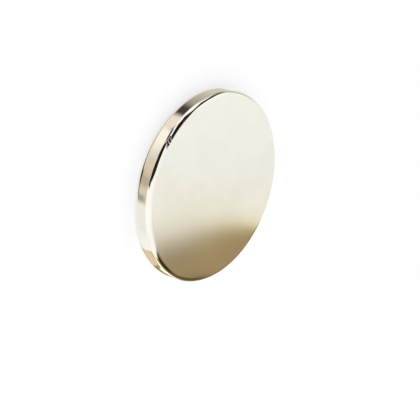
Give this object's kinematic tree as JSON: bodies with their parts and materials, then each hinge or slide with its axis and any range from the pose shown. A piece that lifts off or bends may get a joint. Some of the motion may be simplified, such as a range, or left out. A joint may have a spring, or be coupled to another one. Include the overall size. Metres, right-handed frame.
{
  "type": "disc magnet",
  "caption": "Thin round permanent magnet, nickel plated, with two flat faces, a plain cylindrical rim and rounded edges, one of them nicked.",
  "frame": {"origin": "middle of the lower flat face, the one the magnet lies on", "axes": "+Z along the disc's axis, out of the upper face, which is the direction of magnetisation; +X and +Y lie in the plane of the disc, and the nick in the upper edge is at 253.5 degrees from +X towards +Y, so just short of -Y"},
  "size_m": [0.02, 0.02, 0.002],
  "materials": {
    "nickel": "bright nickel plate: satin ground faces, near-mirror rim and edges"
  },
  "bodies": {
    "root": {"disc_magnet": "nickel"}
  },
  "joints": []
}
